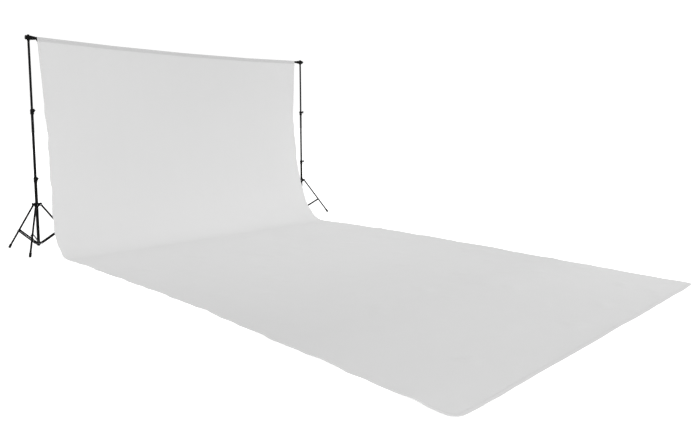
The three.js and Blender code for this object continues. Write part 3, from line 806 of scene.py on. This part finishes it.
# ---- cloth --------------------------------------------------------------------------------
SHEET = 0.0006                      # thickness of the muslin
HEM = 0.022                         # width of the hem that is folded to the back
HEM_BULK = 0.0007                   # what the fold adds at the back
EDGE_STEPS = [0, 0.0015, 0.004, 0.009, 0.015, 0.0205, HEM, 0.0235, 0.03, 0.04, 0.055]
MESH_STEP = 0.016
POCKET_R = 0.0172                   # rod pocket, loose round the bar
POCKET_DROP = 0.0027                # its centre hangs below the bar's axis
POCKET_SEAM = 0.034                 # from the pocket's centre down to its stitching
POCKET_TURNING = 0.010              # cloth below the stitching at the back
BAR_SHADE = 0.090                   # width of the band of painted shade where the cloth goes over the bar
HANG_LOW = 0.700                    # the curve's handles: straight down, then forward along the floor
SWEEP_HANDLE = 0.180
# Half-width on each side, as (distance along the cloth from the bar, half-width).
EDGE_STATIONS = {
    "left": [(0, 1.435), (0.85, 1.404), (1.3, 1.418), (1.7, 1.458), (1.9, 1.474), (2.03, 1.466),
             (2.3, 1.435), (2.85, 1.411), (3.45, 1.368), (5.0, 1.352), (6.1, 1.358)],
    "right": [(0, 1.400), (0.8, 1.350), (1.5, 1.336), (1.8, 1.318), (2.0, 1.294), (2.2, 1.322),
              (2.5, 1.352), (6.1, 1.343)],
}
CORNER_R = {"left": 0.062, "right": 0.045}
UNEVEN_EDGE = [(1.1, 2.5), (0.53, 3.2), (0.27, 3.0), (0.15, 1.8)]   # the hem's waves: metres long, mm high
SPLIT_Z = 0.95                      # the sheet is two pieces, joined where the stands' middle tubes carry it


def ramp(value, low, high):
    t = np.clip((value - low) / (high - low), 0, 1)
    return t * t * (3 - 2 * t)


def through(stations, at):
    """A smooth curve through (position, value) stations."""
    xs, ys = np.array(stations, float).T
    slopes = np.gradient(ys, xs)
    k = np.clip(np.searchsorted(xs, at) - 1, 0, len(xs) - 2)
    span = xs[k + 1] - xs[k]
    t = np.clip((at - xs[k]) / span, 0, 1)
    return ((2 * t ** 3 - 3 * t ** 2 + 1) * ys[k] + (3 * t ** 2 - 2 * t ** 3) * ys[k + 1]
            + span * ((t ** 3 - 2 * t ** 2 + t) * slopes[k] + (t ** 3 - t ** 2) * slopes[k + 1]))


def ripples(x, y, seed, count, shortest, longest, lean=1.0):
    """A smooth uneven surface from about -1 to 1; lean over 1 draws its folds out along y."""
    random = np.random.RandomState(seed)
    total = np.zeros(np.broadcast(x, y).shape)
    for _ in range(count):
        wave = shortest * (longest / shortest) ** random.rand()
        turn = random.rand() * math.pi
        phase = random.rand() * 2 * math.pi
        bend = 0.35 * np.sin(2 * math.pi * y / (3.1 * wave) + 5 * phase)
        run = x * math.cos(turn) + y * math.sin(turn) / lean
        total += (wave / longest) ** 0.6 * np.cos(2 * math.pi * run / wave + phase + bend)
    return total / (0.75 * math.sqrt(count))


class ClothShape:
    """The sheet as a grid: rows from the pocket's turning over the bar, down and out; columns across."""

    def __init__(self):
        floor_low, floor_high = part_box("backdrop_floor")
        self.middle = (STAND_X["left"] + STAND_X["right"]) / 2
        self.front = floor_low.y - STAND_Y
        self.sweep_end = floor_high.y - STAND_Y
        self.bar = max(BAR_Z)
        self.seam_z = self.bar - POCKET_DROP - POCKET_SEAM
        self.trace_rows()
        self.place()

    def trace_rows(self):
        centre = self.bar - POCKET_DROP
        behind = -POCKET_R + 2 * SHEET
        reach = math.hypot(behind, POCKET_SEAM)
        leaves = math.atan2(-POCKET_SEAM, behind) + math.acos(POCKET_R / reach)
        start = (POCKET_R * math.cos(leaves), centre + POCKET_R * math.sin(leaves))
        rows = [(behind, self.seam_z - POCKET_TURNING * k, 1.0) for k in (1, 0.5, 0)]
        rows += [(behind + (start[0] - behind) * k ** 1.3, self.seam_z + (start[1] - self.seam_z) * k, 1.0)
                 for k in (0.1, 0.25, 0.5, 0.75, 1.0)]
        for k in range(1, 19):
            angle = leaves + (math.pi - leaves) * k / 18
            rows.append((POCKET_R * math.cos(angle), centre + POCKET_R * math.sin(angle), 1.0))
        self.pocket_rows = len(rows)

        ends = np.array([(-POCKET_R, centre), (-POCKET_R, HANG_LOW), (-SWEEP_HANDLE, 0), (self.sweep_end, 0)])
        t = np.linspace(0, 1, 2001)[:, None]
        curve = ((1 - t) ** 3 * ends[0] + 3 * t * (1 - t) ** 2 * ends[1] + 3 * t * t * (1 - t) * ends[2]
                 + t ** 3 * ends[3])
        length = np.concatenate([[0], np.cumsum(np.linalg.norm(np.diff(curve, axis=0), axis=1))])
        near = np.array([-0.026, -0.017, -0.010, -0.005, -0.002, 0, 0.002, 0.005, 0.010, 0.018, 0.028])
        down = np.concatenate([POCKET_SEAM + near, np.arange(POCKET_SEAM + 0.042, length[-1], MESH_STEP)])
        ys, zs = np.interp(down, length, curve[:, 0]), np.interp(down, length, curve[:, 1])
        rows += [(y, z, (z / centre) ** 2) for y, z in zip(ys, zs)]

        run = self.sweep_end - self.front
        steps = int((run - EDGE_STEPS[-1]) / MESH_STEP)
        out = [EDGE_STEPS[-1] + (run - EDGE_STEPS[-1]) * k / steps for k in range(steps, 0, -1)]
        rows += [(self.front + d, 0, 0) for d in out + EDGE_STEPS[::-1]]
        self.y, self.z, self.follow = np.array(rows).T
        steps = np.hypot(np.diff(self.y), np.diff(self.z))
        self.along = np.concatenate([[0], np.cumsum(steps)])

    def edges(self, side, seed):
        """Half-width on one side for each row: the cut edge, a slightly wavy hem and a rounded corner."""
        from_bar = np.maximum(0, self.along - self.along[self.pocket_rows - 1])
        half = through(EDGE_STATIONS[side], from_bar)
        random = np.random.RandomState(seed)
        uneven = np.zeros(len(half))
        for wave, size in UNEVEN_EDGE:
            uneven += size * MM * np.sin(2 * math.pi * from_bar / wave + random.rand() * 2 * math.pi)
        half = half - uneven * ramp(from_bar, 0.2, 0.9)
        radius = CORNER_R[side]
        inside = np.clip(radius - (self.y - self.front), 0, radius)
        return half - (radius - np.sqrt(radius ** 2 - inside ** 2)) * (self.z <= 0)

    def place(self):
        left, right = self.edges("left", 3), self.edges("right", 8)
        self.flat_width = max(left.max() + right.max(), left[0] + right[0])
        count = int(self.flat_width / MESH_STEP)
        inner = np.linspace(0, 1, count)[None, 1:-1]
        steps = np.array(EDGE_STEPS)
        low = -left[:, None] + steps[None, :]
        high = right[:, None] - steps[None, ::-1]
        middle = low[:, -1:] + (high[:, :1] - low[:, -1:]) * inner
        x = np.concatenate([low, middle, high], axis=1)
        half = self.flat_width / 2
        flat = np.concatenate([steps - half, (2 * inner[0] - 1) * (half - steps[-1]), half - steps[::-1]])
        self.across = np.repeat(flat[None, :], len(self.y), axis=0)
        self.side_distance = half - np.abs(self.across)
        y = np.repeat(self.y[:, None], x.shape[1], axis=1)
        z = np.repeat(self.z[:, None], x.shape[1], axis=1)
        z += (bar_axis(x + self.middle) - self.bar) * self.follow[:, None]
        ground = self.z[:, None] <= 0
        from_front = np.where(ground, y - self.front, 1.0)
        hem = np.minimum(self.side_distance, from_front)
        self.bulk = HEM_BULK * (1 - ramp(hem, HEM - 0.001, HEM + 0.001))
        self.mark_stitches(hem, from_front)
        waver = ripples(x, np.zeros_like(x), 21, 7, 0.25, 1.6) * 0.0035 * (1 - ramp(from_front, 0.05, 0.9))
        y += np.where(ground, waver + 0.003 * (1 - ramp(from_front, 0.0, 0.4)), 0)

        self.points = np.stack([x, y, z], axis=-1)
        self.points += self.facing() * self.relief(x, y, z, ground)[..., None]
        self.points[..., 2] += (0.5 * SHEET + self.bulk) * np.where(ground, 1, ramp(0.2 - z, 0, 0.2))
        self.normals = self.facing()
        self.points += np.array([self.middle, STAND_Y, 0])

    def mark_stitches(self, hem, from_front):
        """For the shader: the distance from the hem's edge or the pocket's seam, and the run along it."""
        run = np.where(self.side_distance < from_front, self.along[:, None], self.across)
        from_seam = STITCH_INSET + np.abs(self.z - self.seam_z)[:, None]
        sewn = (from_seam < STITCH_INSET + 0.003) & (self.side_distance > HEM)
        distance = np.where(sewn, from_seam, hem)
        self.stitching = np.stack([distance, np.where(sewn, self.across, run)], axis=-1)

    def relief(self, x, y, z, ground):
        """How far the cloth stands off its smooth curve: long falling folds, and soft lifts on the floor."""
        hanging = ramp(z, 0.03, 0.45) * (1 - ramp(z, 1.35, 1.79))
        falling = ripples(x, z, 5, 16, 0.16, 0.9, 9.0)
        broad = ripples(x, z, 6, 6, 0.9, 2.2, 2.5)
        sides = np.exp(-self.side_distance / 0.11) * ripples(z, x, 7, 5, 0.4, 1.4)
        wall = hanging * (0.0011 * falling + 0.0034 * broad + 0.006 * sides)
        pulls = ramp(z, 1.2, 1.79) * np.exp(-((self.bar - z) / 0.35) ** 2)
        seam = np.exp(-((self.seam_z - z) / 0.003) ** 2) * (y < 0)
        puckers = np.cos(2 * math.pi * x / 0.031) * 0.0003
        rows = np.arange(len(self.y))[:, None] >= self.pocket_rows
        gathers = 0.0006 * pulls * ripples(x, z, 9, 9, 0.07, 0.3, 6.0)
        wall = wall + rows * (gathers + seam * (puckers - 0.0004))
        lying = ramp(self.sweep_end - y, 0.0, 0.35)
        soft = 0.5 + 0.5 * ripples(x, y, 11, 18, 0.22, 1.1)
        creased = np.maximum(0, ripples(x, y, 12, 10, 0.12, 0.5)) ** 2
        hem_lift = np.exp(-np.minimum(self.side_distance, y - self.front) / 0.05)
        lifted = 0.5 + 0.5 * ripples(x, y, 13, 12, 0.15, 0.7)
        floor = lying * (0.0030 * np.maximum(0, soft) + 0.0012 * creased)
        floor += 0.003 * hem_lift * np.maximum(0, lifted) ** 2
        return np.where(ground, floor, wall)

    def facing(self):
        down = np.gradient(self.points, axis=0)
        across = np.gradient(self.points, axis=1)
        normal = np.cross(down, across)
        return normal / np.linalg.norm(normal, axis=-1, keepdims=True)


def cloth_piece(name, shape, first, last, material):
    """A closed sheet from some of the grid's rows, with the whole grid's normals, so the join is unseen."""
    rows, columns = last - first, shape.points.shape[1]
    points, normals = shape.points[first:last], shape.normals[first:last]
    front = points + normals * 0.5 * SHEET
    back = points - normals * (0.5 * SHEET + shape.bulk[first:last])[..., None]
    grid = np.arange(rows * columns).reshape(rows, columns)
    a, b, c, d = grid[:-1, :-1], grid[1:, :-1], grid[1:, 1:], grid[:-1, 1:]
    outer = np.stack([a, b, c, d], axis=-1).reshape(-1, 4)
    behind = rows * columns
    inner = outer[:, ::-1] + behind
    border = np.concatenate([grid[0, ::-1], grid[1:, 0], grid[-1, 1:], grid[-2:0:-1, -1]])
    following = np.roll(border, -1)
    rim = np.stack([following, border, border + behind, following + behind], axis=-1)
    faces = np.concatenate([outer, inner, rim])
    mesh = bpy.data.meshes.new(name)
    vertices = np.concatenate([front.reshape(-1, 3), back.reshape(-1, 3)])
    mesh.from_pydata(vertices.tolist(), [], faces.tolist())
    mesh.update()
    corners = faces.reshape(-1)
    along = np.repeat(shape.along[first:last, None], columns, axis=1)
    flat = np.stack([shape.across[first:last], along], axis=-1)
    flat = np.tile(flat.reshape(-1, 2), (2, 1))[corners]
    mesh.uv_layers.new(name="cloth").data.foreach_set("uv", flat.astype(np.float32).ravel())
    stitch = np.tile(shape.stitching[first:last].reshape(-1, 2), (2, 1))[corners]
    mesh.uv_layers.new(name="stitching").data.foreach_set("uv", stitch.astype(np.float32).ravel())
    mesh.polygons.foreach_set("use_smooth", np.ones(len(faces), bool))
    vertex_normals = np.concatenate([normals.reshape(-1, 3), -normals.reshape(-1, 3)])
    loop_normals = vertex_normals[corners]
    rim_normals = np.array([mesh.polygons[k].normal for k in range(len(faces) - len(rim), len(faces))])
    loop_normals[-4 * len(rim):] = np.repeat(rim_normals, 4, axis=0)
    mesh.normals_split_custom_set(loop_normals.tolist())
    mesh.materials.append(material)
    obj = bpy.data.objects.new(name, mesh)
    bpy.context.scene.collection.objects.link(obj)
    return obj


def backdrop():
    shape = ClothShape()
    rows = len(shape.z)
    hanging = np.arange(rows) >= shape.pocket_rows
    split_row = int(np.argmin(np.where(hanging, np.abs(shape.z - SPLIT_Z), np.inf)))
    front_of_bar = float(shape.along[shape.pocket_rows - 1])
    # The cloth's colour carries a band of painted shade over the bar.
    muslin = cloth_material(front_of_bar - 0.8 * BAR_SHADE, front_of_bar + 0.2 * BAR_SHADE)
    upper = cloth_piece("backdrop_upper_cloth", shape, 0, split_row + 1, muslin)
    lower = cloth_piece("backdrop_lower_cloth", shape, split_row, rows, muslin)
    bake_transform(upper)
    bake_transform(lower)
    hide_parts("backdrop_wall", "backdrop_pocket")
    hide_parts("backdrop_floor", "backdrop_sweep")


backdrop()


# ---- floor, light and camera --------------------------------------------------------------
def floor_material():
    """A plain pale floor with a faint unevenness."""
    n = Nodes("pale_floor")
    place = n.stretched((1, 1, 1))
    n.set(
        Base_Color=n.ramp(n.noise(place, 0.7, 3), [(0.3, (0.93, 0.93, 0.93)), (0.7, (0.96, 0.96, 0.96))]),
        Roughness=n.remap(n.noise(place, 6, 3), 0.3, 0.7, 0.75, 0.9),
        Specular_IOR_Level=0.1,
        Emission_Color=(1, 1, 1, 1),
        Emission_Strength=0.3,
    )
    return n.material


def stage_floor():
    half = 60
    corners = [(-half, -half, 0), (half, -half, 0), (half, half, 0), (-half, half, 0)]
    mesh = bpy.data.meshes.new("floor")
    mesh.from_pydata(corners, [], [(0, 1, 2, 3)])
    mesh.materials.append(floor_material())
    floor = bpy.data.objects.new("floor", mesh)
    bpy.context.scene.collection.objects.link(floor)


def area_light(name, place, target, size, power):
    light = bpy.data.lights.new(name, "AREA")
    light.shape = "RECTANGLE"
    light.size, light.size_y = size
    light.energy = power
    obj = bpy.data.objects.new(name, light)
    bpy.context.scene.collection.objects.link(obj)
    obj.location = place
    obj.rotation_euler = (Vector(target) - Vector(place)).to_track_quat("-Z", "Y").to_euler()
    return obj


LEVEL_AHEAD, LEVEL_BEHIND = 1.035, 2.05     # the white surroundings' strength


def surroundings():
    """A white studio, brighter behind the viewer; a strip light on the wall's foot and two low soft boxes."""
    world = bpy.data.worlds.new("studio")
    world.use_nodes = True
    tree = world.node_tree
    axes = tree.nodes.new("ShaderNodeSeparateXYZ")
    tree.links.new(tree.nodes.new("ShaderNodeTexCoord").outputs["Generated"], axes.inputs[0])
    level = tree.nodes.new("ShaderNodeMapRange")
    for name, value in (("From Min", 0), ("From Max", -1), ("To Min", LEVEL_AHEAD), ("To Max", LEVEL_BEHIND)):
        level.inputs[name].default_value = value
    tree.links.new(axes.outputs["Y"], level.inputs["Value"])
    background = tree.nodes["Background"]
    background.inputs["Color"].default_value = (1, 1, 1, 1)
    tree.links.new(level.outputs["Result"], background.inputs["Strength"])
    bpy.context.scene.world = world
    strip = area_light("strip_softbox", (-0.2, -5.0, 2.2), (0.2, -0.15, 0.25), (3.2, 0.4), 4)
    strip.data.spread = math.radians(35)
    right = area_light("right_softbox", (3.1, -2.7, 1.0), (1.2, -1.4, 0.0), (1.2, 0.8), 3.5)
    left = area_light("left_softbox", (-3.2, -3.6, 1.0), (-1.0, -2.6, 0.0), (1.2, 0.8), 4)
    for light in (right, left):
        light.data.spread = math.radians(100)
    for light in (strip, right, left):
        light.visible_camera = False


CAMERA_PLACE = Vector((-3.174, -5.723, 1.137))      # from the point on the floor half-way between the stands
CAMERA_TURN = (-43.843, -5.094, 0.249)              # yaw, pitch and roll in degrees; yaw 0 looks along +Y
CAMERA_LENS = 31.17
CAMERA_SHIFT = -0.0643


def camera():
    data = bpy.data.cameras.new("camera")
    data.lens = CAMERA_LENS
    data.sensor_width = 36
    data.shift_y = CAMERA_SHIFT
    data.clip_end = 200
    obj = bpy.data.objects.new("camera", data)
    bpy.context.scene.collection.objects.link(obj)
    yaw, pitch, roll = (math.radians(angle) for angle in CAMERA_TURN)
    turn = (Matrix.Rotation(yaw, 4, "Z") @ Matrix.Rotation(pitch, 4, "X") @ Matrix.Rotation(roll, 4, "Y")
            @ Matrix.Rotation(math.pi / 2, 4, "X"))
    middle = Vector(((STAND_X["left"] + STAND_X["right"]) / 2, STAND_Y, 0))
    obj.matrix_world = Matrix.Translation(middle + CAMERA_PLACE) @ turn
    bpy.context.scene.camera = obj


stage_floor()
surroundings()
camera()
bpy.context.scene.view_settings.view_transform = "Standard"
